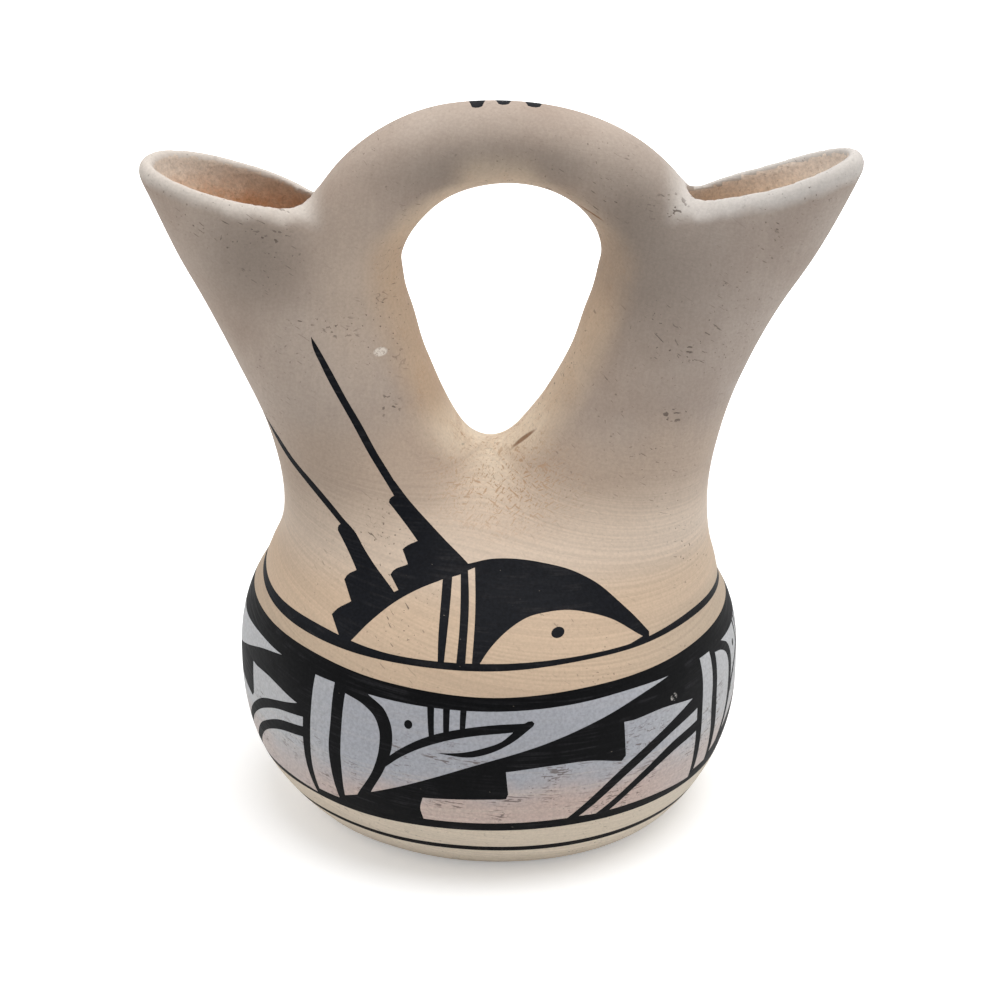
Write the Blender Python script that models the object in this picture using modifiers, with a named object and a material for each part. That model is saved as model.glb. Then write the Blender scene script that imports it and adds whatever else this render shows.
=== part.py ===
"""Two-spouted wedding vase with an arched handle, hand built from separate clay members.

The pot stands on Z = 0 with its axis on Z. The spouts lie along X and the handle arches between them.
The members are stacked and luted with slip: base disc, belly wall, shoulder wall, two halves of the waist
that meet at the middle plane, a flaring neck on each, a lip coil round each mouth, and the handle.
"""

import math

import bmesh
import bpy
import numpy as np
from mathutils import Matrix

MM = 0.001

# Clay thickness and the slip joint between members
GAP = 0.3 * MM
BASE_THICKNESS = 6.0 * MM
BODY_WALL = 5.0 * MM
LIP_WALL = 3.5 * MM

# Turned body: foot, belly and shoulder
FOOT_RADIUS = 51.4 * MM
FOOT_ROUNDING = 2.5 * MM
BELLY_RADIUS = 69.4 * MM
BELLY_HEIGHT = 41.0 * MM
SHOULDER_TUCK = 3.0 * MM
SHOULDER_HEIGHT = 60.0 * MM
FOOT_FULLNESS = 2.6
SHOULDER_FULLNESS = 2.9

# Right spout, as rows of: height above the shoulder joint, outer reach, inner reach, half depth.
# An inner reach below zero lies past the middle plane, where the two spouts run together in the waist.
SPOUT_ROWS = (
    (0.0 * MM, 50.5 * MM, -6.4 * MM, 35.2 * MM),
    (26.0 * MM, 56.4 * MM, -4.5 * MM, 30.0 * MM),
    (40.0 * MM, 59.4 * MM, 2.5 * MM, 27.0 * MM),
    (53.0 * MM, 63.0 * MM, 10.6 * MM, 24.6 * MM),
    (70.0 * MM, 70.0 * MM, 19.4 * MM, 22.5 * MM),
    (88.0 * MM, 79.0 * MM, 26.2 * MM, 21.0 * MM),
    (100.0 * MM, 85.8 * MM, 34.0 * MM, 20.3 * MM),
    (113.0 * MM, 92.2 * MM, 46.5 * MM, 19.8 * MM),
    (123.0 * MM, 95.8 * MM, 54.0 * MM, 19.5 * MM),
)
WAIST_BLEND = 21.0 * MM
WAIST_BLEND_RISE = 15.0 * MM
SADDLE_BLEND = 6.0 * MM
WAIST_COLLAR = 2.5 * MM

# Mouths: the rim is a tilted plane, low beside the handle and high at the pouring tip
RIM_LOW = 112.5 * MM
RIM_HIGH = 123.3 * MM
LIP_DEPTH = 6.0 * MM
TILT_START = 56.0 * MM

# Handle: half an oval between the spouts, thicker at its roots
HANDLE_SPRING = 96.0 * MM
HANDLE_HALF_SPAN = 41.4 * MM
HANDLE_RISE = 33.0 * MM
HANDLE_TOP_RADIUS = 11.0 * MM
HANDLE_ROOT_RADIUS = 13.8 * MM
HANDLE_TAIL = 20.0 * MM
HANDLE_TAIL_RADIUS = 7.0 * MM

# Facets
TURN_STEPS = 48
RING_POINTS = 44
BODY_RINGS = 7
WAIST_RINGS = 16
WAIST_CROWDING = 1.7
NECK_RINGS = 13
ROUNDING_STEPS = 3
HANDLE_STEPS = 20
HANDLE_SIDE_STEPS = 5
OVERRUN = 25.0 * MM
BISECTIONS = 34
SHARP_ANGLE = math.radians(35)

# Small working lengths
SLOPE_STEP = 0.5 * MM
MERGE = 0.01 * MM
LEAST_BLEND = 0.1 * MM
NEAR_ZERO = 1e-9

# Colours of the fired surface
BARE_CLAY = (0.60, 0.40, 0.28)
BUFF_SLIP = (0.66, 0.53, 0.41)
PALE_SLIP = (0.70, 0.58, 0.47)
BAND_WASH = (0.45, 0.43, 0.46)
BARE_ROUGHNESS = 0.85
SLIP_ROUGHNESS = 0.6
LIP_ROUGHNESS = 0.55


def clear_scene():
    for thing in list(bpy.data.objects):
        bpy.data.objects.remove(thing, do_unlink=True)


def new_collection(name):
    collection = bpy.data.collections.new(name)
    bpy.context.scene.collection.children.link(collection)
    return collection


def make_material(name, colour, roughness):
    material = bpy.data.materials.new(name)
    material.use_nodes = True
    shader = material.node_tree.nodes["Principled BSDF"]
    shader.inputs["Base Color"].default_value = (*colour, 1.0)
    shader.inputs["Roughness"].default_value = roughness
    shader.inputs["Metallic"].default_value = 0.0
    return material


def add_object(name, data, collection, material=None):
    thing = bpy.data.objects.new(name, data)
    collection.objects.link(thing)
    if material:
        data.materials.append(material)
    return thing


def shade_round(mesh):
    mesh.shade_smooth()
    mesh.set_sharp_from_angle(angle=SHARP_ANGLE)


def smooth_step(low, high, value):
    share = np.clip((value - low) / (high - low), 0.0, 1.0)
    return share * share * (3.0 - 2.0 * share)


def smooth_min(first, second, width):
    mix = np.maximum(width - np.abs(first - second), 0.0) / width
    return np.minimum(first, second) - mix * mix * width / 4.0


def body_radius(z):
    """Outer radius of the turned body, swelling from the foot to the belly and closing over the shoulder."""
    below = np.clip((BELLY_HEIGHT - z) / BELLY_HEIGHT, 0.0, None)
    above = np.clip((z - BELLY_HEIGHT) / (SHOULDER_HEIGHT - BELLY_HEIGHT), 0.0, None)
    foot_drop = (BELLY_RADIUS - FOOT_RADIUS) * below ** FOOT_FULLNESS
    shoulder_drop = SHOULDER_TUCK * above ** SHOULDER_FULLNESS
    return BELLY_RADIUS - foot_drop - shoulder_drop


def wall_lean(z):
    """Length of the body's wall for each unit of height."""
    slope = (body_radius(z + SLOPE_STEP) - body_radius(z - SLOPE_STEP)) / (2.0 * SLOPE_STEP)
    return np.sqrt(1.0 + slope * slope)


def spout_section(z):
    """Outer reach, inner reach and half depth of a spout, smooth through the rows of the table."""
    rows = np.array(SPOUT_ROWS)
    heights = rows[:, 0] + SHOULDER_HEIGHT
    place = np.clip(np.searchsorted(heights, z) - 1, 0, len(heights) - 2)
    span = heights[place + 1] - heights[place]
    share = np.clip((z - heights[place]) / span, 0.0, 1.0)
    beyond = z - heights[place] - share * span
    values = []
    for column in (1, 2, 3):
        reach = rows[:, column]
        slope = np.gradient(reach, heights)
        rise = 3.0 * share ** 2 - 2.0 * share ** 3
        curve = reach[place] + (reach[place + 1] - reach[place]) * rise
        curve = curve + span * slope[place] * (share ** 3 - 2.0 * share ** 2 + share)
        curve = curve + span * slope[place + 1] * (share ** 3 - share ** 2)
        end_slope = np.where(beyond < 0.0, slope[place], slope[place + 1])
        values.append(curve + beyond * end_slope)
    return values


def oval_distance(x, y, centre, half_length, half_depth):
    away = x - centre
    scaled = np.sqrt((away / half_length) ** 2 + (y / half_depth) ** 2) + NEAR_ZERO
    steepness = np.sqrt((away / half_length ** 2) ** 2 + (y / half_depth ** 2) ** 2) + NEAR_ZERO
    return scaled * (scaled - 1.0) / steepness


def skin_distance(x, y, z):
    """Distance from the outer skin of body and spouts, about true near it and negative inside."""
    body = (np.sqrt(x * x + y * y) - body_radius(z)) / wall_lean(z)
    outer, inner, depth = spout_section(z)
    centre = (outer + inner) / 2.0
    half = (outer - inner) / 2.0
    near = oval_distance(np.abs(x), y, centre, half, depth)
    far = oval_distance(-np.abs(x), y, centre, half, depth)
    spouts = smooth_min(near, far, SADDLE_BLEND)
    blend_grows = smooth_step(SHOULDER_HEIGHT, SHOULDER_HEIGHT + WAIST_BLEND_RISE, z)
    return smooth_min(body, spouts, LEAST_BLEND + WAIST_BLEND * blend_grows)


def spout_centre(z):
    outer, inner, _ = spout_section(z)
    return (outer + inner) / 2.0


def saddle_height():
    """Height of the saddle where the two spouts part, found on the axis."""
    joined = SHOULDER_HEIGHT
    parted = SHOULDER_HEIGHT + RIM_LOW
    for _ in range(BISECTIONS):
        middle = (joined + parted) / 2.0
        if skin_distance(0.0, 0.0, middle) < 0.0:
            joined = middle
        else:
            parted = middle
    return parted


def rim_plane():
    """Height of the rim over the middle of the mouth, and its rise for each unit of reach."""
    inner = spout_section(SHOULDER_HEIGHT + RIM_LOW)[1]
    outer = spout_section(SHOULDER_HEIGHT + RIM_HIGH)[0]
    middle = SHOULDER_HEIGHT + (RIM_LOW + RIM_HIGH) / 2.0
    return middle, (RIM_HIGH - RIM_LOW) / (outer - inner)


def section_ring(height, inset):
    """Outline of the right half in one plane, level at the shoulder and tilted like the rim at the mouth.

    The outline lies inset behind the outer skin and runs straight on past the middle plane.
    """
    rim_height, rim_slope = rim_plane()
    start = SHOULDER_HEIGHT + TILT_START
    slope = rim_slope * smooth_step(start, rim_height - LIP_DEPTH - GAP, height)
    centre = spout_centre(height)
    angle = np.linspace(0.0, 2.0 * math.pi, RING_POINTS, endpoint=False)
    inside = np.zeros(RING_POINTS)
    outside = np.full(RING_POINTS, 2.0 * BELLY_RADIUS)
    for _ in range(BISECTIONS):
        radius = (inside + outside) / 2.0
        x = centre + radius * np.cos(angle)
        y = radius * np.sin(angle)
        z = height + slope * (x - centre)
        depth = np.maximum(skin_distance(np.maximum(x, 0.0), y, z) + inset, -OVERRUN - x)
        inside = np.where(depth < 0.0, radius, inside)
        outside = np.where(depth < 0.0, outside, radius)
    return np.stack([x, y, z], axis=1)


def loft(name, rings, closed=False):
    """Solid through rings of equal count, capped at its ends, or joined end to start when closed."""
    shape = bmesh.new()
    loops = [[shape.verts.new(point) for point in ring] for ring in rings]
    followers = loops[1:] + loops[:1] if closed else loops[1:]
    for lower, upper in zip(loops, followers):
        for place in range(RING_POINTS):
            after = (place + 1) % RING_POINTS
            shape.faces.new((lower[place], lower[after], upper[after], upper[place]))
    if not closed:
        shape.faces.new(reversed(loops[0]))
        shape.faces.new(loops[-1])
    mesh = bpy.data.meshes.new(name)
    shape.to_mesh(mesh)
    shape.free()
    shade_round(mesh)
    return mesh


def mirrored(mesh, name):
    """Copy of a mesh on the other side of the middle plane."""
    copy = mesh.copy()
    copy.name = name
    copy.transform(Matrix.Scale(-1.0, 4, (1.0, 0.0, 0.0)))
    copy.flip_normals()
    return copy


def turned(name, profile, collection, material, closed=True):
    """Body of revolution from a profile that runs down its outer side."""
    count = len(profile)
    edges = [(place, place + 1) for place in range(count - 1)]
    if closed:
        edges.append((count - 1, 0))
    mesh = bpy.data.meshes.new(name)
    mesh.from_pydata([(radius, 0.0, height) for radius, height in profile], edges, [])
    thing = add_object(name, mesh, collection, material)
    screw = thing.modifiers.new("turn", "SCREW")
    screw.axis = "Z"
    screw.angle = 2.0 * math.pi
    screw.steps = TURN_STEPS
    screw.render_steps = TURN_STEPS
    screw.use_merge_vertices = True
    screw.merge_threshold = MERGE
    screw.use_smooth_shade = True
    return thing


def cut(thing, cutter):
    boolean = thing.modifiers.new("cut", "BOOLEAN")
    boolean.operation = "DIFFERENCE"
    boolean.solver = "EXACT"
    boolean.object = cutter


def add_cutter(name, mesh, collection):
    cutter = add_object(name, mesh, collection)
    cutter.hide_render = True
    cutter.display_type = "WIRE"
    return cutter


def base_disc(collection, material):
    """Flat round slab whose edge carries on the line of the belly."""
    middle = (BASE_THICKNESS + FOOT_ROUNDING) / 2.0
    edge = [(body_radius(BASE_THICKNESS), BASE_THICKNESS), (body_radius(middle), middle)]
    corner = body_radius(FOOT_ROUNDING) - FOOT_ROUNDING
    for turn in np.linspace(0.0, math.pi / 2.0, ROUNDING_STEPS + 1):
        edge.append((corner + FOOT_ROUNDING * math.cos(turn), FOOT_ROUNDING * (1.0 - math.sin(turn))))
    return turned("base_disc", [(0.0, BASE_THICKNESS), *edge, (0.0, 0.0)], collection, material, closed=False)


def ring_wall(name, low, high, collection, material):
    """Ring of the body's wall between two level joints."""
    heights = np.linspace(high, low, BODY_RINGS)
    outer = [(float(body_radius(z)), float(z)) for z in heights]
    inner = [(float(body_radius(z) - BODY_WALL * wall_lean(z)), float(z)) for z in heights[::-1]]
    return turned(name, outer + inner, collection, material)


def spout_wall(height):
    """Wall of a spout, thinning from the shoulder to the lip."""
    rim_height, _ = rim_plane()
    thin = smooth_step(SHOULDER_HEIGHT, rim_height - LIP_DEPTH - GAP, height)
    return BODY_WALL + (LIP_WALL - BODY_WALL) * thin


def hollow_length(levels, cutters):
    """Hollow length of the right spout through these levels, cut off at the middle plane."""
    blank = loft("spout_blank", [section_ring(height, 0.0) for height in levels])
    solid = add_object("spout_blank", blank, cutters)
    beyond = (levels[0] - BODY_WALL, *levels, levels[-1] + BODY_WALL)
    hollow = loft("spout_hollow", [section_ring(height, spout_wall(height)) for height in beyond])
    cut(solid, add_cutter("spout_hollow", hollow, cutters))
    bpy.ops.mesh.primitive_cube_add(size=1.0)
    middle = bpy.context.active_object
    middle.name = "middle_plane"
    width = 2.0 * BELLY_RADIUS
    middle.data.transform(Matrix.Diagonal((width, 2.0 * width, 2.0 * (levels[-1] + width), 1.0)))
    middle.data.transform(Matrix.Translation((GAP / 2.0 - width / 2.0, 0.0, 0.0)))
    middle.hide_render = True
    middle.display_type = "WIRE"
    for owner in list(middle.users_collection):
        owner.objects.unlink(middle)
    cutters.objects.link(middle)
    cut(solid, middle)
    bpy.context.view_layer.update()
    evaluated = solid.evaluated_get(bpy.context.evaluated_depsgraph_get())
    mesh = bpy.data.meshes.new_from_object(evaluated)
    bpy.data.objects.remove(solid, do_unlink=True)
    shape = bmesh.new()
    shape.from_mesh(mesh)
    bmesh.ops.triangulate(shape, faces=shape.faces)
    shape.to_mesh(mesh)
    shape.free()
    shade_round(mesh)
    return mesh


def lip_mesh():
    """Coil round the right mouth: flat seat on the spout's wall, half-round top."""
    rim_height, _ = rim_plane()
    radius = LIP_WALL / 2.0
    rings = [section_ring(rim_height - LIP_DEPTH, 0.0)]
    for turn in np.linspace(0.0, math.pi, 2 * ROUNDING_STEPS + 1):
        depth = radius * (1.0 - math.sin(turn))
        rings.append(section_ring(rim_height - depth, radius * (1.0 - math.cos(turn))))
    rings.append(section_ring(rim_height - LIP_DEPTH, LIP_WALL))
    return loft("lip", rings, closed=True)


def handle(collection, cutters, material):
    """Arched coil between the spouts, its ends shaped to sit on their walls."""
    curve = bpy.data.curves.new("handle_path", "CURVE")
    curve.dimensions = "3D"
    curve.bevel_depth = HANDLE_TOP_RADIUS
    curve.bevel_resolution = HANDLE_SIDE_STEPS
    curve.use_fill_caps = True
    spring = SHOULDER_HEIGHT + HANDLE_SPRING
    tail = spring - HANDLE_TAIL
    stations = [(spout_centre(tail), tail, HANDLE_TAIL_RADIUS)]
    for turn in np.linspace(0.0, math.pi, HANDLE_STEPS + 1):
        thickness = HANDLE_TOP_RADIUS + (HANDLE_ROOT_RADIUS - HANDLE_TOP_RADIUS) * math.cos(turn) ** 2
        stations.append((HANDLE_HALF_SPAN * math.cos(turn), spring + HANDLE_RISE * math.sin(turn), thickness))
    stations.append((-spout_centre(tail), tail, HANDLE_TAIL_RADIUS))
    path = curve.splines.new("POLY")
    path.points.add(len(stations) - 1)
    for point, (x, z, thickness) in zip(path.points, stations):
        point.co = (x, 0.0, z, 1.0)
        point.radius = thickness / HANDLE_TOP_RADIUS
    tube = add_object("handle_path", curve, cutters)
    bpy.context.view_layer.update()
    evaluated = tube.evaluated_get(bpy.context.evaluated_depsgraph_get())
    mesh = bpy.data.meshes.new_from_object(evaluated)
    mesh.name = "handle"
    bpy.data.objects.remove(tube, do_unlink=True)
    shape = bmesh.new()
    shape.from_mesh(mesh)
    bmesh.ops.remove_doubles(shape, verts=shape.verts, dist=MERGE)
    shape.to_mesh(mesh)
    shape.free()
    shade_round(mesh)
    arch = add_object("handle", mesh, collection, material)
    rim_height, _ = rim_plane()
    low = SHOULDER_HEIGHT + TILT_START
    high = rim_height + 2.0 * HANDLE_TOP_RADIUS
    seat = loft("right_seat", [section_ring(z, -GAP) for z in np.linspace(low, high, NECK_RINGS)])
    cut(arch, add_cutter("right_seat", seat, cutters))
    cut(arch, add_cutter("left_seat", mirrored(seat, "left_seat"), cutters))
    return arch


def build():
    clear_scene()
    parts = new_collection("wedding_vase")
    cutters = new_collection("cutters")
    base_disc(parts, make_material("bare clay", BARE_CLAY, BARE_ROUGHNESS))
    wash = make_material("painted band", BAND_WASH, SLIP_ROUGHNESS)
    ring_wall("belly_wall", BASE_THICKNESS + GAP, BELLY_HEIGHT, parts, wash)
    slip = make_material("shoulder slip", BUFF_SLIP, SLIP_ROUGHNESS)
    ring_wall("shoulder_wall", BELLY_HEIGHT + GAP, SHOULDER_HEIGHT, parts, slip)
    joint = saddle_height() + WAIST_COLLAR
    seam = rim_plane()[0] - LIP_DEPTH - GAP
    foot = SHOULDER_HEIGHT + GAP
    depth_below = (1.0 - np.linspace(0.0, 1.0, WAIST_RINGS)) ** WAIST_CROWDING
    shapes = {
        "waist": hollow_length(joint - (joint - foot) * depth_below, cutters),
        "neck": hollow_length(np.linspace(joint + GAP, seam, NECK_RINGS), cutters),
        "lip": lip_mesh(),
    }
    for member, shape in shapes.items():
        for side in ("left", "right"):
            name = side + "_" + member
            roughness = LIP_ROUGHNESS if member == "lip" else SLIP_ROUGHNESS
            data = mirrored(shape, name) if side == "left" else shape
            add_object(name, data, parts, make_material(name + " slip", PALE_SLIP, roughness))
    handle(parts, cutters, make_material("handle slip", PALE_SLIP, SLIP_ROUGHNESS))


build()
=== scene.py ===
import math

import bmesh
import bpy
import numpy as np
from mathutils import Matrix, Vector
from mathutils.geometry import delaunay_2d_cdt


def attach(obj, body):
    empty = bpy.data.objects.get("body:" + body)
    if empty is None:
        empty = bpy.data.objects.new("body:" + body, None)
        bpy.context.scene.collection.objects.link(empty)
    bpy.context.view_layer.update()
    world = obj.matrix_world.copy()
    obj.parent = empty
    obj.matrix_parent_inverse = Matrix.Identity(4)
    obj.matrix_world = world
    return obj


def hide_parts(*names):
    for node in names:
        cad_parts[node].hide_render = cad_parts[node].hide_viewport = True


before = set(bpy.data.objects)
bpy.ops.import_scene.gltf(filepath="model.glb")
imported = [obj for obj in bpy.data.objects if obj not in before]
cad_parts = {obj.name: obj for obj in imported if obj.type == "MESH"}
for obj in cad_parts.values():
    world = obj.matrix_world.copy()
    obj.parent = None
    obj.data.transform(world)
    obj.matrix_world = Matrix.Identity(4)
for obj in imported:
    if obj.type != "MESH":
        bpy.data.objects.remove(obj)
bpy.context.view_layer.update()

# Lengths are in millimetres and angles about the upright axis in degrees, from the front towards +X.
MM = 0.001
MESH_STEP = 1.25
NET_BOX = np.array(((-101.0, -75.0, -4.0), (101.0, 75.0, 206.0)))

# Body of revolution
BELLY_RADIUS = 69.4
BELLY_HEIGHT = 41.0
FOOT_RADIUS = 51.4
FOOT_FULLNESS = 2.6
SHOULDER_TUCK = 3.0
SHOULDER_HEIGHT = 60.0
SHOULDER_FULLNESS = 2.9
FOOT_ROUNDING = 3.5
BODY_WALL = 5.0
LIP_WALL = 4.2
LIP_WALL_HEIGHT = 170.0
BASE_THICKNESS = 6.0
BASE_FILLET = 6.0
BASE_JOINT = 5.0

# Spouts: height above the shoulder, outer reach, inner reach, half depth
SPOUT_ROWS = np.array((
    (0, 50.5, -6.4, 35.2),
    (26, 56.4, -4.5, 30),
    (40, 59.4, 2.5, 27),
    (53, 63, 10.6, 24.6),
    (70, 70, 19.4, 22.5),
    (88, 79, 26.2, 21),
    (100, 85.8, 34, 20.3),
    (113, 92.5, 46.5, 19.8),
    (118.5, 94.9, 50.6, 19.6),
    (125, 95.6, 55.5, 19.5),
))
WAIST_BLEND = 21.0
WAIST_BLEND_HEIGHTS = (50.0, 73.0)
LEFT_PINCH = 0.10
RIGHT_PINCH = 0.22
PINCH_HEIGHTS = (125.0, 172.0)
SADDLE_BLEND = 16.0
RIM_LOW = 172.5
RIM_HIGH = 183.3
RIM_STEEPNESS = 0.97
LIP_ROUNDING = 5.0
MOUTH_EDGE = 2.2
LIP_DEPTH = 6.0
SADDLE_JOINT = 108.4
WAIST_JOINT = 62.5

# Handle
HANDLE_SPRING = 156.0
HANDLE_HALF_SPAN = 41.4
HANDLE_RISE = 33.0
HANDLE_RADIUS = 11.0
HANDLE_ROOT_RADIUS = 13.8
HANDLE_BLEND = 6.5
HANDLE_SKEW = 4.5
SKEW_REACH = (-12.0, -44.0)
HANDLE_TURNS = (-0.02, math.pi / 2 + 0.2)
HANDLE_JOINT_LOW = (27.0, 148.0)
HANDLE_JOINT_HIGH = (46.5, 173.0)

# Thinner wall where the handle backs the mouth: none to full, across, in depth and up
BACKED_ACROSS = (62.0, 49.0)
BACKED_DEPTH = (9.0, 3.0)
BACKED_HEIGHT = (156.0, 167.0)
BACKED_THINNING = 0.75

# Hand-made lean: height and sideways shift
LEAN = np.array((
    (0, 0.6), (20, -1), (42, -1.7), (62, -1.4), (84, 0.45),
    (105, -0.3), (132, -0.7), (155, 0.2), (172, 1.4), (200, 0.7),
))
HAND_SWELL = 0.22
GAP_SHIFT = 1.7
GAP_LEFT_SHIFT = 1.4
GAP_RIGHT_SHIFT = 1.0
SHOULDER_TILT = -0.034
SADDLE_SHIFT = 1.2
SADDLE_DROP = 2.6
# Rise of a rim's inner and outer half, measured from its middle
RIM_MIDDLE = 70.0
RIM_HALF = 24.0
LEFT_RIM_RISE = (0.9, 1.9)
RIGHT_RIM_RISE = (1.0, 2.8)
RIGHT_LIFT = 1.6
RIGHT_FRONT_GRADE = 0.05
LEFT_BACK_GRADE = 0.09
LEFT_FLARE = -0.4
RIGHT_FLARE = 1.7

# Paints, as material numbers
SLIP, HOLLOW, BLACK, WASH, BARE, JOINT = range(6)

# Outputs of delaunay_2d_cdt
WHOLE_HULL, CUT_FACES = 0, 4


def ease(low, high, value):
    """Smooth step from 0 at low to 1 at high."""
    share = np.clip((value - low) / (high - low), 0, 1)
    return share * share * (3 - 2 * share)


def join(a, b, width):
    """Union of two fields with a fillet."""
    near = np.maximum(width - np.abs(a - b), 0) / width
    return np.minimum(a, b) - near * near * width / 4


def meet(a, b, width):
    """Intersection of two fields with a rounded edge."""
    return -join(-a, -b, width)


def curve_through(stations, values, at):
    """Smooth curve through values at their stations, straight beyond the ends."""
    rates = np.gradient(values, stations)
    span_no = np.clip(np.searchsorted(stations, at) - 1, 0, len(stations) - 2)
    start, end = values[span_no], values[span_no + 1]
    span = stations[span_no + 1] - stations[span_no]
    share = np.clip((at - stations[span_no]) / span, 0, 1)
    beyond = at - stations[span_no] - share * span
    bend = start + (end - start) * (3 * share**2 - 2 * share**3)
    bend = bend + span * rates[span_no] * (share**3 - 2 * share**2 + share)
    bend = bend + span * rates[span_no + 1] * (share**3 - share**2)
    return bend + beyond * np.where(beyond < 0, rates[span_no], rates[span_no + 1])


def body_radius(z):
    below = np.clip((BELLY_HEIGHT - z) / BELLY_HEIGHT, 0, None)
    above = np.clip((z - BELLY_HEIGHT) / (SHOULDER_HEIGHT - BELLY_HEIGHT), 0, None)
    foot = (BELLY_RADIUS - FOOT_RADIUS) * below**FOOT_FULLNESS
    return BELLY_RADIUS - foot - SHOULDER_TUCK * above**SHOULDER_FULLNESS


def spout_section(z):
    """Outer reach, inner reach and half depth of a spout at a height."""
    stations = SPOUT_ROWS[:, 0] + SHOULDER_HEIGHT
    return [curve_through(stations, SPOUT_ROWS[:, row], z) for row in (1, 2, 3)]


def oval(x, y, centre, half_width, half_depth):
    off = x - centre
    ratio = np.sqrt((off / half_width) ** 2 + (y / half_depth) ** 2) + 1e-9
    rate = np.sqrt((off / half_width**2) ** 2 + (y / half_depth**2) ** 2) + 1e-9
    return ratio * (ratio - 1) / rate


def hand_swell(x, y, z):
    """Low, slow unevenness left by hand forming."""
    broad = np.sin(x / 13 + z / 19) * np.sin(y / 15 - z / 23 + 1.1)
    return HAND_SWELL * (broad + 0.6 * np.sin(z / 7.3 + x / 29) * np.cos(x / 9 - y / 8))


def skin(x, y, z):
    """Outer face of the body and both spouts, as a distance field."""
    grade = body_radius(z + 0.5) - body_radius(z - 0.5)
    body = (np.sqrt(x * x + y * y) - body_radius(z)) / np.sqrt(1 + grade * grade)
    outer, inner, depth = spout_section(z)
    depth = depth * (1 - np.where(x < 0, LEFT_PINCH, RIGHT_PINCH) * ease(*PINCH_HEIGHTS, z))
    centre, half = (outer + inner) / 2, (outer - inner) / 2
    near, far = oval(np.abs(x), y, centre, half, depth), oval(-np.abs(x), y, centre, half, depth)
    spouts = join(near, far, SADDLE_BLEND)
    width = 0.1 + WAIST_BLEND * ease(*WAIST_BLEND_HEIGHTS, z)
    return join(body, spouts, width) + hand_swell(x, y, z)


def handle_field(x, y, z):
    across, up = np.abs(x), z - HANDLE_SPRING
    forward = y + HANDLE_SKEW * ease(*SKEW_REACH, x)
    turn = np.arctan2(up / HANDLE_RISE, across / HANDLE_HALF_SPAN)
    for _ in range(3):
        off_x = across - HANDLE_HALF_SPAN * np.cos(turn)
        off_z = up - HANDLE_RISE * np.sin(turn)
        run_x, run_z = -HANDLE_HALF_SPAN * np.sin(turn), HANDLE_RISE * np.cos(turn)
        turn = turn + (off_x * run_x + off_z * run_z) / (run_x * run_x + run_z * run_z)
    turn = np.clip(turn, *HANDLE_TURNS)
    off_x = across - HANDLE_HALF_SPAN * np.cos(turn)
    off_z = up - HANDLE_RISE * np.sin(turn)
    root = np.cos(np.clip(turn, 0, math.pi / 2)) ** 2
    radius = HANDLE_RADIUS + (HANDLE_ROOT_RADIUS - HANDLE_RADIUS) * root
    return np.sqrt(off_x**2 + off_z**2 + forward**2) - radius + hand_swell(x, y, z)


RIM_INNER = float(spout_section(np.array(RIM_LOW))[1])
RIM_OUTER = float(spout_section(np.array(RIM_HIGH))[0])
RIM_SLOPE = (RIM_HIGH - RIM_LOW) / (RIM_OUTER - RIM_INNER)


def rim_height(x):
    return RIM_LOW + RIM_SLOPE * (np.abs(x) - RIM_INNER)


def wall(z):
    return BODY_WALL + (LIP_WALL - BODY_WALL) * ease(SHOULDER_HEIGHT, LIP_WALL_HEIGHT, z)


def hollow_field(x, y, z):
    """The hollow, thin-walled where the handle backs the mouth."""
    backed = ease(*BACKED_ACROSS, np.abs(x)) * ease(*BACKED_HEIGHT, z) * ease(*BACKED_DEPTH, np.abs(y))
    return meet(skin(x, y, z) + wall(z) * (1 - BACKED_THINNING * backed), BASE_THICKNESS - z, BASE_FILLET)


def clay(x, y, z):
    """The whole pot: below 0 in the clay, above 0 outside it."""
    face = skin(x, y, z)
    form = meet(face, (z - rim_height(x)) * RIM_STEEPNESS, LIP_ROUNDING)
    form = join(form, handle_field(x, y, z), HANDLE_BLEND)
    form = meet(form, -z, FOOT_ROUNDING)
    return meet(form, -hollow_field(x, y, z), MOUTH_EDGE)


def lean(points):
    """The true form as the potter's hand left it, from the even one."""
    x, y, z = points.T
    right, out = x > 0, np.abs(x)
    gap = GAP_SHIFT * np.exp(-((x / 30) ** 2)) * ease(112, 150, z) * (1 - ease(178, 192, z))
    gap = gap + GAP_LEFT_SHIFT * ease(-6, -26, x) * ease(-40, -28, x) * ease(108, 128, z) * (1 - ease(168, 186, z))
    gap = gap + GAP_RIGHT_SHIFT * ease(4, 14, x) * ease(45, 30, x) * ease(104, 118, z) * ease(154, 122, z)
    tilt = SHOULDER_TILT * x * ease(45, 66, z) * (1 - ease(96, 125, z))
    saddle = np.exp(-((x / 14) ** 2)) * ease(85, 104, z) * (1 - ease(106, 125, z))
    inner, outer = (np.where(right, *pair) for pair in zip(RIGHT_RIM_RISE, LEFT_RIM_RISE))
    rise = np.where(out > RIM_MIDDLE, outer, inner) * (out - RIM_MIDDLE) / RIM_HALF
    rise = rise + np.where(right, RIGHT_LIFT - RIGHT_FRONT_GRADE * y, LEFT_BACK_GRADE * np.maximum(y, 0))
    rise = rise * ease(150, 172, z) * ease(40, 52, out)
    flare = np.where(right, RIGHT_FLARE, LEFT_FLARE) * ease(60, 84, out) * ease(128, 168, z) * ease(186, 176, z)
    shift = curve_through(LEAN[:, 0], LEAN[:, 1], z) + flare
    return np.stack((x + shift + gap - SADDLE_SHIFT * saddle, y, z + tilt - SADDLE_DROP * saddle + rise), 1)


def unlean(points):
    even = points.copy()
    for _ in range(4):
        even = even - (lean(even) - points)
    return even


def slope(field, points, probe=0.05):
    rise = np.empty_like(points)
    for axis in range(3):
        step = np.zeros(3)
        step[axis] = probe
        rise[:, axis] = (field(*(points + step).T) - field(*(points - step).T)) / (2 * probe)
    return rise


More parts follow.
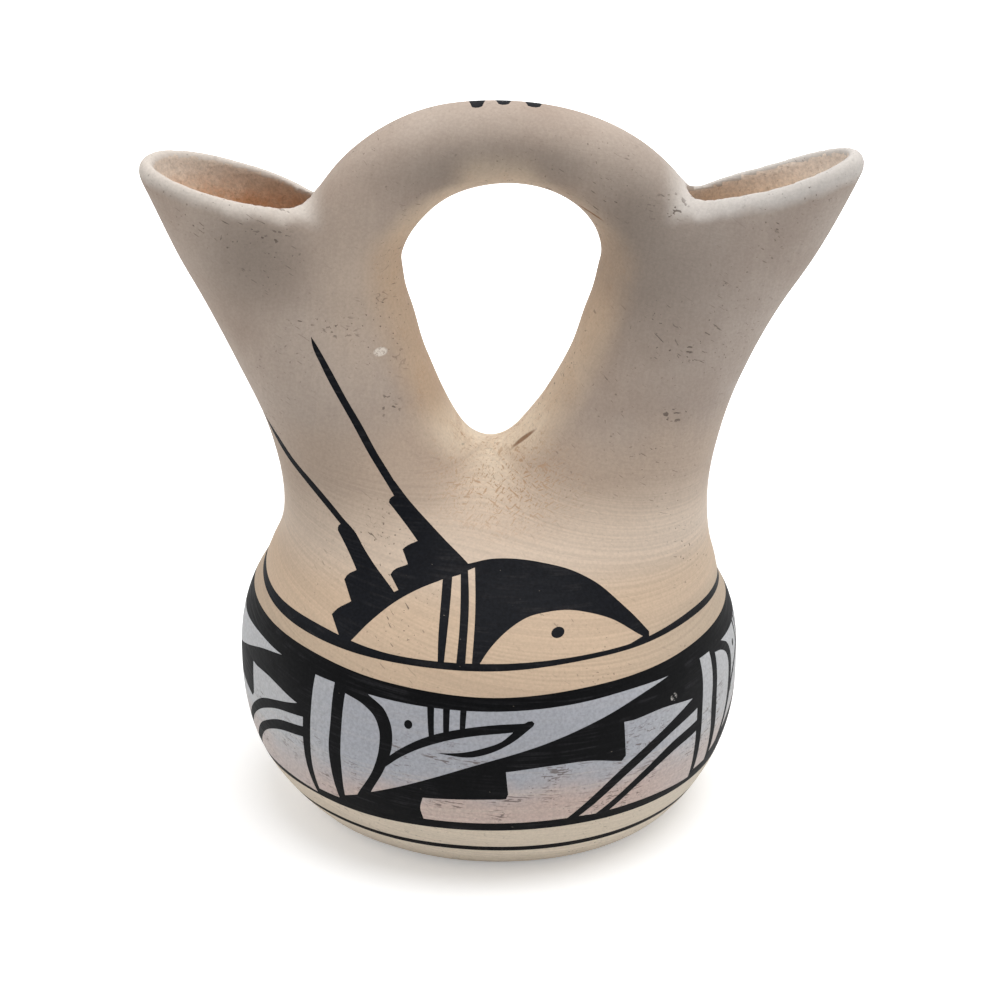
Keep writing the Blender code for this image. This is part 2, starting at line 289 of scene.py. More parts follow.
def settle(points, turns=3, least_rise=0.25, longest_move=0.5):
    """Draws points on to the clay's surface."""
    for _ in range(turns):
        rise = slope(clay, points)
        move = clay(*points.T) / np.maximum((rise * rise).sum(1), least_rise)
        points = points - np.clip(move, -longest_move, longest_move)[:, None] * rise
    return points


def net_surface(step):
    """Even net of quads over the clay's surface."""
    low, high = NET_BOX
    count = np.ceil((high - low) / step).astype(int)
    x, y, z = (low[axis] + step * np.arange(count[axis]) for axis in range(3))
    depth = np.stack([clay(np.array(reach), y[:, None], z[None, :]) for reach in x])
    inside = depth < 0
    corners = np.array([(a, b, c) for a in (0, 1) for b in (0, 1) for c in (0, 1)])
    cells = count - 1
    full = sum(inside[a:a + cells[0], b:b + cells[1], c:c + cells[2]].astype(np.int8) for a, b, c in corners)
    active = np.argwhere((full > 0) & (full < 8))
    number = np.full(cells, -1, np.int32)
    number[tuple(active.T)] = np.arange(len(active))
    value = np.stack([depth[tuple((active + corner).T)] for corner in corners], 1)
    place, hits = np.zeros((len(active), 3)), np.zeros(len(active))
    for a in range(8):
        for b in range(a + 1, 8):
            if np.abs(corners[a] - corners[b]).sum() == 1:
                crossed = (value[:, a] < 0) != (value[:, b] < 0)
                share = np.where(crossed, value[:, a] / (value[:, a] - value[:, b] + 1e-30), 0)
                spot = corners[a] + share[:, None] * (corners[b] - corners[a])
                place += crossed[:, None] * spot
                hits += crossed
    points = low + step * (active + place / hits[:, None])
    faces = []
    for axis in range(3):
        first, second = np.eye(3, dtype=int)[(axis + 1) % 3], np.eye(3, dtype=int)[(axis + 2) % 3]
        near = inside[tuple(slice(0, -1) if n == axis else slice(None) for n in range(3))]
        beyond = inside[tuple(slice(1, None) if n == axis else slice(None) for n in range(3))]
        edges = np.argwhere(near != beyond)
        outward = near[tuple(edges.T)]
        ring = [number[tuple((edges - off).T)] for off in (first + second, second, 0 * first, first)]
        ring = np.stack(ring, 1)
        faces.append(np.where(outward[:, None], ring, ring[:, ::-1]))
    return settle(points), np.concatenate(faces).tolist()


def face_means(points, faces):
    """Middle of each face."""
    sizes = np.array([len(face) for face in faces])
    flat = np.concatenate([np.asarray(face) for face in faces])
    return np.add.reduceat(points[flat], np.cumsum(sizes) - sizes) / sizes[:, None]


def to_form(points, faces, paint):
    form = bmesh.new()
    verts = [form.verts.new(point) for point in points]
    for ring, colour in zip(faces, paint):
        try:
            face = form.faces.new([verts[corner] for corner in ring])
        except ValueError:
            continue
        face.material_index = colour
    return form


def from_form(form):
    form.verts.index_update()
    points = np.array([vert.co for vert in form.verts])
    faces = [[vert.index for vert in face.verts] for face in form.faces]
    return points, faces, [face.material_index for face in form.faces]


def cut(form, spot, normal, clear=False):
    """Parts the faces at a plane and, if told to, clears what lies before it."""
    geometry = form.verts[:] + form.edges[:] + form.faces[:]
    bmesh.ops.bisect_plane(form, geom=geometry, dist=1e-4, plane_co=spot, plane_no=normal, clear_outer=clear)


def lift(spot, ring, flat, points):
    """Point of a face above a spot of its flat layout."""
    best = None
    for n in range(1, len(ring) - 1):
        a, b, c = (flat[ring[k]] for k in (0, n, n + 1))
        area = (b[0] - a[0]) * (c[1] - a[1]) - (c[0] - a[0]) * (b[1] - a[1])
        if abs(area) < 1e-12:
            continue
        v = ((spot[0] - a[0]) * (c[1] - a[1]) - (c[0] - a[0]) * (spot[1] - a[1])) / area
        w = ((b[0] - a[0]) * (spot[1] - a[1]) - (spot[0] - a[0]) * (b[1] - a[1])) / area
        worst = min(v, w, 1 - v - w)
        if best is None or worst > best[0]:
            share = (1 - v - w, v, w)
            corners = (ring[0], ring[n], ring[n + 1])
            best = (worst, sum(part * points[corner] for part, corner in zip(share, corners)))
    return best[1]


def flat_area(ring):
    """Area of a flat outline, above 0 where it runs anticlockwise."""
    u, v = ring.T
    return (u * np.roll(v, -1) - np.roll(u, -1) * v).sum() / 2


def imprint(shell, mask, flat, shapes):
    """Draws outlines into the masked faces, laid out flat; the last outline round a new face paints it."""
    points, faces, paint = shell
    chosen = [face for face in np.flatnonzero(mask).tolist() if flat_area(flat[faces[face]]) > 1e-6]
    used = sorted({corner for face in chosen for corner in faces[face]})
    order = {corner: n for n, corner in enumerate(used)}
    sites = [Vector(flat[corner]) for corner in used]
    rings = [[order[corner] for corner in faces[face]] for face in chosen]
    for outline, _ in shapes:
        rings.append(list(range(len(sites), len(sites) + len(outline))))
        sites.extend(Vector(spot) for spot in (outline if flat_area(outline) > 0 else outline[::-1]))
    spots, _, tiles, spot_from, _, tile_from = delaunay_2d_cdt(sites, [], rings, CUT_FACES, 1e-5, True)
    corner_of = {}
    for n, sources in enumerate(spot_from):
        held = [source for source in sources if source < len(used)]
        if held:
            corner_of[n] = used[held[0]]
    fresh, new_faces, new_paint = [], [], []
    for tile, sources in zip(tiles, tile_from):
        under = [source for source in sources if source < len(chosen)]
        if not under:
            continue
        ring = faces[chosen[under[0]]]
        for n in tile:
            if n not in corner_of:
                corner_of[n] = len(points) + len(fresh)
                fresh.append(lift(spots[n], ring, flat, points))
        over = [source - len(chosen) for source in sources if source >= len(chosen)]
        new_faces.append([corner_of[n] for n in tile])
        new_paint.append(shapes[max(over)][1] if over else paint[chosen[under[0]]])
    taken = set(chosen)
    kept = [n for n in range(len(faces)) if n not in taken]
    points = np.concatenate((points, settle(np.array(fresh))))
    return points, [faces[n] for n in kept] + new_faces, [paint[n] for n in kept] + new_paint


# Painted outlines, going on from run to run: straight to a lone point, or smoothly through a group of points.
# Belly band: angle and height of one repeat
TALL_BAR = (
    (-36.7, 56.2), ((-37.0, 46.1), (-37.7, 38.7), (-37.5, 30.4), (-37.2, 21.9)), (-43.8, 21.8),
    ((-43.7, 29.2), (-43.2, 38.8), (-42.6, 49.8), (-42.5, 56.3)),
)
LEAF = (
    ((-28.8, 53.1), (-25.8, 50.8), (-24.4, 47.3), (-24.4, 42.6), (-26.0, 35.5), (-31.2, 25.5)),
    (-35.0, 23.7), ((-34.5, 31.1), (-34.4, 38.5), (-33.9, 47.2), (-33.5, 54.5)),
)
LONG_PANEL = (
    ((-13.6, 55.3), (0.8, 55.3), (18.3, 55.9), (33.7, 56.7), (45.1, 56.5)),
    ((37.2, 54.6), (26.2, 50.7), (13.6, 46.0), (-2.6, 40.0), (-27.3, 27.7)),
    ((-23.0, 36.8), (-21.3, 43.7), (-21.7, 49.6), (-23.4, 53.0), (-27.7, 55.8)),
)
STEP_PANEL = (
    ((-6.3, 29.3), (3.8, 29.5)), (4.3, 31.0), (3.9, 37.9), ((13.5, 38.9), (22.9, 38.7), (30.6, 36.4)),
    (31.7, 37.7), (31.3, 47.8), (33.8, 47.5), ((42.0, 47.8), (52.7, 45.9)),
    ((45.0, 42.5), (31.7, 34.8), (17.9, 21.1)), ((1.6, 21.2), (-15.4, 21.5)), ((-15.7, 25.3), (-14.8, 28.9)),
)
SLAT = (
    (25.0, 20.8), ((37.0, 31.2), (45.1, 36.0), (54.5, 38.5)), (54.7, 42.1),
    ((45.0, 39.2), (33.2, 32.6), (20.7, 21.1)),
)
WEDGE = (((40.6, 20.9), (54.7, 19.9)), ((54.2, 28.0), (54.3, 35.3)), ((45.3, 33.0), (35.5, 27.4), (28.5, 21.0)))
FEATHER = (
    ((-19.5, 42.9), (-12.9, 47.7), (-4.9, 50.6), (2.1, 51.8), (8.0, 52.0)),
    ((8.9, 52.5), (9.8, 52.5), (10.2, 51.6), (9.2, 50.4)),
    ((5.6, 46.9), (0.9, 43.8), (-3.1, 42.4), (-11.1, 43.0)),
    ((-4.9, 43.8), (-0.7, 45.2), (3.0, 47.0), (5.5, 49.6)),
    ((-2.6, 48.6), (-8.5, 47.0), (-14.5, 44.1), (-19.5, 40.4), (-23.0, 36.8)), (-22.7, 39.6),
)
SHORT_BARS = (
    ((-12.0, 57.5), (-11.7, 47.5), (-12.9, 47.5), (-13.7, 57.5)),
    ((-8.4, 57.5), (-8.4, 49.0), (-9.7, 49.0), (-10.0, 57.5)),
    ((-4.6, 57.5), (-4.9, 50.0), (-6.1, 50.0), (-6.1, 57.5)),
)
BAND_DOT = (-17.6, 50.2)
BAND_DOT_RADII = (0.95, 1.2)
BAND_LOW = 18.45
BAND_LOW_TILT = 0.6
THIN_LINE = (9.4, 11.35)
REPEAT_START = -43.3
REPEAT_WIDTHS = (100, 80, 80, 100)
SLAT_LIFTS = (0, 0, 0, 2.5)
# Angle, band's upper edge, lower and upper edge of the shoulder line; front and back alike
FRAME_ROWS = np.array((
    (-90, 61.3, 65.6, 67.5), (-68, 61.4, 64.55, 66.9), (-46, 60.9, 63.95, 66.55),
    (-24, 59.6, 64.15, 65.75), (0, 58.75, 64.75, 66.35), (24, 59.85, 66, 67.05),
    (40, 60.4, 66.15, 67.2), (62, 61.3, 66.5, 68.3), (90, 61.3, 65.6, 67.5),
))

# Shoulder figure: sideways place and height, as seen from the front
CREST = (
    (-42.5, 69.7), ((-41.4, 71.0), (-37.7, 73.6)), (-40.1, 77.4), ((-39.4, 78.5), (-37.0, 80.1)),
    (-42.4, 87.9), ((-42.3, 89.0), (-41.6, 89.7)),
    ((-46.0, 93.7), (-50.6, 98.0), (-55.7, 103.3), (-59.0, 108.2), (-62.1, 114.7)),
    ((-57.7, 108.9), (-53.9, 103.8), (-48.8, 98.9), (-44.2, 94.6), (-40.8, 91.3)),
    ((-37.6, 88.6), (-35.5, 85.6), (-33.0, 82.8), (-26.6, 77.5)), (-25.5, 78.0), (-27.9, 80.7),
    ((-27.5, 81.3), (-23.4, 83.3)), (-24.9, 86.3), ((-24.3, 86.8), (-20.9, 88.4)), (-28.2, 97.0),
    ((-27.8, 98.0), (-26.7, 98.7)),
    ((-33.3, 110.1), (-38.7, 121.3), (-45.0, 133.6), (-47.7, 139.9), (-48.0, 141.8)),
    ((-46.8, 140.0), (-43.2, 133.8), (-36.4, 120.7), (-30.7, 109.6), (-26.6, 102.7)),
    ((-22.8, 97.8), (-17.9, 92.8), (-12.7, 88.1), (-7.4, 84.3)),
    ((-1.3, 85.4), (3.7, 85.6), (12.1, 85.0), (20.0, 83.5), (26.8, 80.6), (33.2, 76.1), (38.7, 71.6),
     (42.1, 68.3)),
    (42.3, 66.6), ((28.9, 66.5), (0.0, 65.5), (-23.5, 65.0), (-39.9, 66.0)),
)
WING = (
    ((-32.1, 71.0), (-26.4, 75.5), (-20.0, 78.9), (-14.0, 81.1)), (-13.6, 65.5),
    ((-25.5, 65.3), (-36.8, 66.1)),
)
FIRST_SLOT = ((-9.3, 82.3), ((-8.7, 72.7), (-8.8, 65.5)), (-12.0, 65.5), ((-11.7, 74.4), (-11.5, 81.7)))
SECOND_SLOT = ((-5.6, 83.7), ((-4.9, 75.6), (-4.7, 65.6)), (-6.4, 65.6), ((-6.8, 78.3), (-7.4, 83.1)))
HEAD = (
    ((-0.3, 69.5), (4.4, 73.3), (8.6, 75.2), (14.1, 76.0), (19.7, 76.0), (24.8, 75.1), (31.2, 73.1),
     (40.4, 67.8)),
    ((35.5, 66.9), (21.4, 66.5), (7.7, 66.0), (-3.1, 65.7)),
)
EYE = (17.2, 72.1)
EYE_RADII = (1.75, 1.05)

# Strokes over the handle's top: left and right edges, front end; they run over to the back
HANDLE_STROKES = ((-7.2, -3.5, -3.4), (-0.2, 3.4, -2.2), (7.5, 11.5, -2.4))
STROKE_BACK = 8.5

# Where paint may lie: heights of the figure and the band, least height and half widths of the strokes
FIGURE_HEIGHTS = (58.0, 148.0)
BAND_HEIGHTS = (4.0, 72.0)
STROKE_HEIGHT = 189.0
STROKE_REACH = (22.0, 10.2)

POLE_BEHIND = 60.0
POLE_REACH = POLE_BEHIND + 66.0
ARC = math.radians(BELLY_RADIUS)


def traced(runs, step=0.9):
    """Closed outline along its runs."""
    outline = []
    runs = [run if isinstance(run[0], tuple) else (run,) for run in runs]
    for before, run in zip(runs[-1:] + runs[:-1], runs):
        run = np.array(before[-1:] + run)
        if len(run) == 2:
            outline.append(run[:1])
            continue
        reach = np.concatenate(((0,), np.cumsum(np.linalg.norm(np.diff(run, axis=0), axis=1))))
        at = np.linspace(0, reach[-1], max(int(reach[-1] / step), len(run)) + 1)[:-1]
        outline.append(np.stack([curve_through(reach, run[:, axis], at) for axis in (0, 1)], 1))
    return np.concatenate(outline)


def ring_of(centre, radii, count=18):
    turn = np.arange(count) * 2 * math.pi / count
    return np.stack((centre[0] + radii[0] * np.cos(turn), centre[1] + radii[1] * np.sin(turn)), 1)


def strip(low_edge, high_edge):
    """Painted line right round the pot between two heights, each given by angle."""
    turn = np.arange(-185.0, 185.1, 2.5)
    low = np.stack((turn, low_edge(np.radians(turn))), 1)
    high = np.stack((turn, high_edge(np.radians(turn))), 1)
    return np.concatenate((low, high[::-1]))


def frame_edge(row):
    """Height of a framing edge, by angle."""
    return lambda a: curve_through(FRAME_ROWS[:, 0], FRAME_ROWS[:, row], (np.degrees(a) + 90) % 180 - 90)


def raised(outline, height):
    """An outline with its right end set higher."""
    along, up = outline.T
    share = ease(20, 38, along) * ease(21, 31, up) * (1 - 0.5 * ease(38, 46, up))
    return np.stack((along, up + height * share), 1)


def band_shapes():
    """Belly band, thin line and shoulder line, in painting order, as angle and height."""
    shapes = [(strip(lambda a: BAND_LOW - BAND_LOW_TILT * np.sin(a), frame_edge(1)), BLACK)]
    repeat = [(traced(runs), WASH) for runs in (TALL_BAR, LEAF, LONG_PANEL)]
    repeat += [(traced(runs), BLACK) for runs in (FEATHER, *SHORT_BARS)]
    repeat.append((ring_of(BAND_DOT, BAND_DOT_RADII), BLACK))
    start = REPEAT_START - sum(REPEAT_WIDTHS)
    for number, width in enumerate(REPEAT_WIDTHS * 2):
        slats = [(raised(traced(runs), SLAT_LIFTS[number % 4]), WASH) for runs in (STEP_PANEL, SLAT, WEDGE)]
        for outline, colour in slats + repeat:
            along = (outline[:, 0] - REPEAT_START) * width / REPEAT_WIDTHS[0]
            shapes.append((np.stack((start + along, outline[:, 1]), 1), colour))
        start += width
    shapes.append((strip(lambda a: THIN_LINE[0] - np.sin(a), lambda a: THIN_LINE[1] - np.sin(a)), BLACK))
    shapes.append((strip(frame_edge(2), frame_edge(3)), BLACK))
    return [(outline * (ARC, 1), colour) for outline, colour in shapes]


def front_face(x, z):
    """Depth of the outer face in front of a point of the front view."""
    low, high = np.full(len(x), -80.0), np.zeros(len(x))
    for _ in range(40):
        middle = (low + high) / 2
        outside = skin(x, middle, z) > 0
        low, high = np.where(outside, middle, low), np.where(outside, high, middle)
    return low


def pole_layout(points):
    """Flat layout of the front face, turned about a line behind the axis."""
    x, y, z = points.T
    return np.stack((POLE_REACH * np.arctan2(x, POLE_BEHIND - y), z), 1)


def figure_shapes():
    outlines = [(CREST, BLACK), (WING, SLIP), (FIRST_SLOT, SLIP), (SECOND_SLOT, SLIP), (HEAD, SLIP)]
    flat = [(traced(runs), colour) for runs, colour in outlines]
    flat.append((ring_of(EYE, EYE_RADII), BLACK))
    shapes = []
    for outline, colour in flat:
        x, z = outline.T
        shapes.append((pole_layout(np.stack((x, front_face(x, z), z), 1)), colour))
    return shapes


def stroke_shapes():
    shapes = []
    for left, right, front in HANDLE_STROKES:
        runs = (
            (((left + right) / 2 + 0.3, front), (right - 0.3, front + 0.7)),
            ((right + 0.4, 1.5), (right + 0.2, STROKE_BACK)),
            (left + 0.4, STROKE_BACK + 0.6),
            ((left - 0.2, 2.0), (left + 0.6, front + 0.5)),
        )
        shapes.append((traced(runs), BLACK))
    return shapes


def near_shapes(shapes, low, high):
    """Shapes that reach into a stretch of the layout."""
    return [pair for pair in shapes if pair[0][:, 0].max() > low and pair[0][:, 0].min() < high]


def outer_faces(middle, low, high):
    """Faces of the outer side between two heights, by their middles."""
    return (skin(*middle.T) > -1) & (middle[:, 2] > low) & (middle[:, 2] < high)


def painted_half(shell, side):
    """One half of the pot with its paint drawn in."""
    half_turn = 180 * ARC
    span = (0, half_turn) if side > 0 else (-half_turn, 0)
    for facing in (1, -1):
        middle = face_means(*shell[:2])
        flat = pole_layout(shell[0] * (facing, facing, 1))
        view = middle * (facing, facing, 1)
        normal = slope(skin, middle) * (facing, facing, 1)
        away = view - (0, POLE_BEHIND, 0)
        shown = (normal[:, 0] * away[:, 0] + normal[:, 1] * away[:, 1]) / np.hypot(away[:, 0], away[:, 1])
        front = outer_faces(middle, *FIGURE_HEIGHTS) & (view[:, 1] < 0) & (shown > 0.2)
        shell = imprint(shell, front, flat, figure_shapes())
    middle = face_means(*shell[:2])
    x, y, z = shell[0].T
    flat = np.stack((np.degrees(side * np.arctan2(np.abs(x), -y)) * ARC, z), 1)
    shell = imprint(shell, outer_faces(middle, *BAND_HEIGHTS), flat, near_shapes(band_shapes(), *span))
    middle = face_means(*shell[:2])
    top = (handle_field(*middle.T) < 1) & (middle[:, 2] > STROKE_HEIGHT)
    top &= (np.abs(middle[:, :2]) < STROKE_REACH).all(1)
    return imprint(shell, top, shell[0][:, :2], stroke_shapes())


def painted_pot():
    """The whole even pot with its paint, as points, faces and paint numbers."""
    points, faces = net_surface(MESH_STEP)
    middle = face_means(points, faces)
    inner = hollow_field(*middle.T) < 0.2
    under = (middle[:, 2] < 0.4) & (slope(clay, middle)[:, 2] < -0.8)
    paint = np.where(under, BARE, np.where(inner, HOLLOW, SLIP)).tolist()
    form = to_form(points, faces, paint)
    cut(form, (0, 0, 0), (1, 0, 0))
    points, faces, paint = from_form(form)
    form.free()
    middle = face_means(points, faces)
    halves = []
    for side in (-1, 1):
        own = np.flatnonzero(middle[:, 0] * side > 0)
        used = sorted({corner for n in own for corner in faces[n]})
        order = {corner: n for n, corner in enumerate(used)}
        half = (points[used], [[order[c] for c in faces[n]] for n in own], [paint[n] for n in own])
        halves.append(painted_half(half, side))
    left, right = halves
    shift = len(left[0])
    faces = left[1] + [[corner + shift for corner in face] for face in right[1]]
    return np.concatenate((left[0], right[0])), faces, left[2] + right[2]


def arch_plane(side):
    """Joint between the handle and one neck, facing the neck."""
    run_x, run_z = (high - low for low, high in zip(HANDLE_JOINT_LOW, HANDLE_JOINT_HIGH))
    length = math.hypot(run_x, run_z)
    return (side * HANDLE_JOINT_LOW[0], 0, HANDLE_JOINT_LOW[1]), (side * run_z / length, 0, -run_x / length)


def lip_plane(side):
    """Joint under one lip, parallel to its rim, facing up."""
    length = math.hypot(1, RIM_SLOPE)
    return (side * RIM_INNER, 0, RIM_LOW - LIP_DEPTH), (-side * RIM_SLOPE / length, 0, 1 / length)


def close_cut(form, edges, spot, normal):
    """Flat joint face across a cut, with the hollow left open."""
    normal = Vector(normal)
    side = normal.orthogonal().normalized()
    up = normal.cross(side)
    verts = list({vert for edge in edges for vert in edge.verts})
    order = {vert: n for n, vert in enumerate(verts)}
    offsets = [vert.co - Vector(spot) for vert in verts]
    sites = [Vector((off.dot(side), off.dot(up))) for off in offsets]
    pairs = [tuple(order[vert] for vert in edge.verts) for edge in edges]
    spots, _, tiles, sources, _, _ = delaunay_2d_cdt(sites, pairs, [], WHOLE_HULL, 1e-7, True)
    ends = np.array(sites)[np.array(pairs)]
    (start_u, start_v), (end_u, end_v) = ends[:, 0].T, ends[:, 1].T
    for tile in tiles:
        u, v = np.mean([spots[n] for n in tile], 0)
        level = (start_v > v) != (end_v > v)
        rise = np.where(level, end_v - start_v, 1)
        crossed = level & (u < start_u + (end_u - start_u) * (v - start_v) / rise)
        if crossed.sum() % 2:
            face = form.faces.new([verts[sources[n][0]] for n in tile])
            face.material_index = JOINT


def keep_below(form, spot, normal):
    """Keeps what lies behind a plane, closed by a joint face."""
    cut(form, spot, normal, clear=True)
    close_cut(form, [edge for edge in form.edges if edge.is_boundary], spot, normal)
    return form


def split(form, plane):
    """Both parts of a form, behind and before a plane."""
    spot, normal = plane
    return keep_below(form.copy(), spot, normal), keep_below(form, spot, tuple(-part for part in normal))


def cut_pieces(points, faces, paint):
    """The pot's pieces by name, parted at its clay joints."""
    rest = to_form(points, faces, paint)
    bmesh.ops.remove_doubles(rest, verts=rest.verts[:], dist=1e-4)
    made = {}
    made["pot_base"], rest = split(rest, ((0, 0, BASE_JOINT), (0, 0, 1)))
    made["pot_body"], rest = split(rest, ((0, 0, WAIST_JOINT), (0, 0, 1)))
    made["pot_waist"], rest = split(rest, ((0, 0, SADDLE_JOINT), (0, 0, 1)))
    for side, word in ((-1, "left"), (1, "right")):
        rest, spout = split(rest, arch_plane(side))
        made[f"pot_neck_{word}"], made[f"pot_lip_{word}"] = split(spout, lip_plane(side))
    made["pot_handle"] = rest
    return {name: from_form(form) for name, form in made.items()}


def add_object(name, data):
    made = bpy.data.objects.new(name, data)
    bpy.context.scene.collection.objects.link(made)
    return made


def place_piece(name, shape, materials):
    points, faces, paint = shape
    true = lean(points)
    mesh = bpy.data.meshes.new(name)
    mesh.from_pydata((true * MM).tolist(), [], faces)
    for material in materials:
        mesh.materials.append(material)
    mesh.polygons.foreach_set("material_index", paint)
    mesh.polygons.foreach_set("use_smooth", [True] * len(faces))
    rise = slope(lambda x, y, z: clay(*unlean(np.stack((x, y, z), 1)).T), true)
    rise /= np.linalg.norm(rise, axis=1)[:, None]
    normals = []
    for face in mesh.polygons:
        for corner in face.vertices:
            normals.append(tuple(face.normal) if face.material_index == JOINT else tuple(rise[corner]))
    mesh.normals_split_custom_set(normals)
    return add_object(name, mesh)


class Nodes:
    """A tree of shader nodes being put together."""

    def __init__(self, tree):
        self.tree = tree

    def node(self, kind, **settings):
        made = self.tree.nodes.new(kind)
        for key, value in settings.items():
            setattr(made, key, value)
        return made

    def link(self, source, socket):
        if hasattr(source, "is_output"):
            self.tree.links.new(source, socket)
        else:
            socket.default_value = source

    def axes(self, vector):
        """The three parts of a vector."""
        made = self.node("ShaderNodeSeparateXYZ")
        self.link(vector, made.inputs[0])
        return made.outputs

    def math(self, operation, a, b=0, c=0, clamp=False):
        made = self.node("ShaderNodeMath", operation=operation, use_clamp=clamp)
        for socket, value in zip(made.inputs, (a, b, c)):
            self.link(value, socket)
        return made.outputs[0]

    def times(self, a, b):
        return self.math("MULTIPLY", a, b)

    def minus(self, a, b):
        return self.math("SUBTRACT", a, b)

    def most(self, *values):
        """Highest of several values."""
        top = values[0]
        for value in values[1:]:
            top = self.math("MAXIMUM", top, value)
        return top

    def ramp(self, value, low, high, start=0, end=1):
        """Smooth step from start at low to end at high."""
        made = self.node("ShaderNodeMapRange", interpolation_type="SMOOTHSTEP")
        for socket, source in zip(made.inputs, (value, low, high, start, end)):
            self.link(source, socket)
        return made.outputs[0]

    def camera_ray(self):
        """1 where the camera looks straight at the place, else 0."""
        return self.node("ShaderNodeLightPath").outputs["Is Camera Ray"]


class Shader(Nodes):
    """A node material, put together in coats of colour over a first one."""

    def __init__(self, name, colour, roughness, specular):
        self.material = bpy.data.materials.new(name)
        self.material.use_nodes = True
        super().__init__(self.material.node_tree)
        self.surface = self.tree.nodes["Principled BSDF"]
        self.feed("Roughness", roughness)
        self.feed("Specular IOR Level", specular)
        self.colour = colour
        scaled = self.node("ShaderNodeVectorMath", operation="MULTIPLY")
        self.link(self.node("ShaderNodeTexCoord").outputs["Object"], scaled.inputs[0])
        scaled.inputs[1].default_value = (1 / MM,) * 3
        self.place = scaled.outputs[0]
        self.x, self.y, self.z = self.axes(self.place)
        self.aside = self.math("ABSOLUTE", self.x)

    def feed(self, name, source):
        self.link(source, self.surface.inputs[name])

    def fitted(self, place, size, turn):
        """Place as seen from a box of a size, turned about its middle."""
        made = self.node("ShaderNodeMapping", vector_type="TEXTURE")
        for name, value in (("Location", place), ("Rotation", turn), ("Scale", size)):
            made.inputs[name].default_value = value
        self.link(self.place, made.inputs["Vector"])
        return made.outputs[0]

    def noise(self, size, detail=2, rough=0.5, turn=(0, 0, 0), offset=0):
        """Noise with grain of a size, in millimetres, along each axis."""
        made = self.node("ShaderNodeTexNoise")
        size = size if isinstance(size, tuple) else (size,) * 3
        self.link(self.fitted((offset, offset * 0.7, -offset), size, turn), made.inputs["Vector"])
        for name, value in (("Scale", 1), ("Detail", detail), ("Roughness", rough)):
            made.inputs[name].default_value = value
        return made.outputs["Fac"]

    def drifted(self, value, amount, size, detail=2, rough=0.5, offset=0):
        """A measure made uneven, by up to half an amount each way."""
        grain = self.noise(size, detail, rough, offset=offset)
        return self.math("ADD", value, self.math("MULTIPLY_ADD", grain, amount, -amount / 2))

    def scuffs(self, size, turn, rare, offset):
        """Sparse little marks: 0 on most of the surface, up to 1 on a mark."""
        return self.ramp(self.noise(size, 1, 0.4, turn, offset), rare, rare + 0.035)

    def wires(self, size, rare, offset, turn=(0, 0, 0), thick=0.02):
        """Short hair-thin lines: 0 on most of the surface, up to 1 on a line."""
        level = self.math("ABSOLUTE", self.minus(self.noise(size, 2, 0.6, turn, offset), 0.5))
        broken = self.ramp(self.noise(size, 1, 0.5, turn, offset + 17), rare, rare + 0.06)
        return self.times(self.ramp(level, thick, thick * 0.4), broken)

    def blot(self, place, size, turn=(0, 0, 0), soft=0.6):
        """Soft patch: 1 about a place, 0 beyond its size."""
        reach = self.node("ShaderNodeVectorMath", operation="LENGTH")
        self.link(self.fitted(place, size, turn), reach.inputs[0])
        return self.ramp(reach.outputs["Value"], 1, 1 - soft)

    def blots(self, rows, soft=0.6):
        return self.most(*(self.blot(*row, soft=soft) for row in rows))

    def curve(self, value, stations):
        """Even curve through values at their stations."""
        made = self.node("ShaderNodeFloatCurve")
        low, high = stations[0][0], stations[-1][0]
        tall = max(width for _, width in stations)
        line = made.mapping.curves[0]
        for at, width in stations[1:-1]:
            line.points.new((at - low) / (high - low), width / tall)
        line.points[0].location = (0, stations[0][1] / tall)
        line.points[-1].location = (1, stations[-1][1] / tall)
        made.mapping.update()
        self.link(self.math("DIVIDE", self.minus(value, low), high - low, clamp=True), made.inputs["Value"])
        return self.times(made.outputs[0], tall)

    def distance(self, a, b):
        """Length of a slant line from its two legs."""
        return self.math("SQRT", self.math("MULTIPLY_ADD", a, a, self.times(b, b)))

    def below_rim(self):
        """Height of the rim above a point."""
        return self.minus(self.math("MULTIPLY_ADD", self.aside, RIM_SLOPE, RIM_LOW - RIM_SLOPE * RIM_INNER), self.z)

    def mix(self, share, a, b, blend="MIX"):
        made = self.node("ShaderNodeMix", data_type="RGBA", blend_type=blend)
        self.link(share, made.inputs["Factor"])
        for value, socket in ((a, made.inputs[6]), (b, made.inputs[7])):
            self.link((*value, 1) if isinstance(value, tuple) else value, socket)
        return made.outputs[2]

    def coat(self, share, colour, strength=None):
        """Lays a colour over the one so far, where the share is above 0."""
        share = share if strength is None else self.times(share, strength)
        self.colour = self.mix(share, self.colour, colour)

    def tint(self, share, factors):
        """Scales the colour so far, where the share is above 0."""
        self.coat(share, self.mix(1, self.colour, factors, "MULTIPLY"))

    def shaded(self, grain, low, high):
        """The colour so far, made darker or lighter by a grain."""
        return self.mix(1, self.colour, self.ramp(grain, 0.28, 0.72, low, high), "MULTIPLY")

    def finished(self, relief, depth):
        """The material, with its colour and its relief in place."""
        bump = self.node("ShaderNodeBump")
        bump.inputs["Distance"].default_value = depth * MM
        self.link(relief, bump.inputs["Height"])
        self.feed("Normal", bump.outputs[0])
        self.feed("Base Color", self.colour)
        return self.material


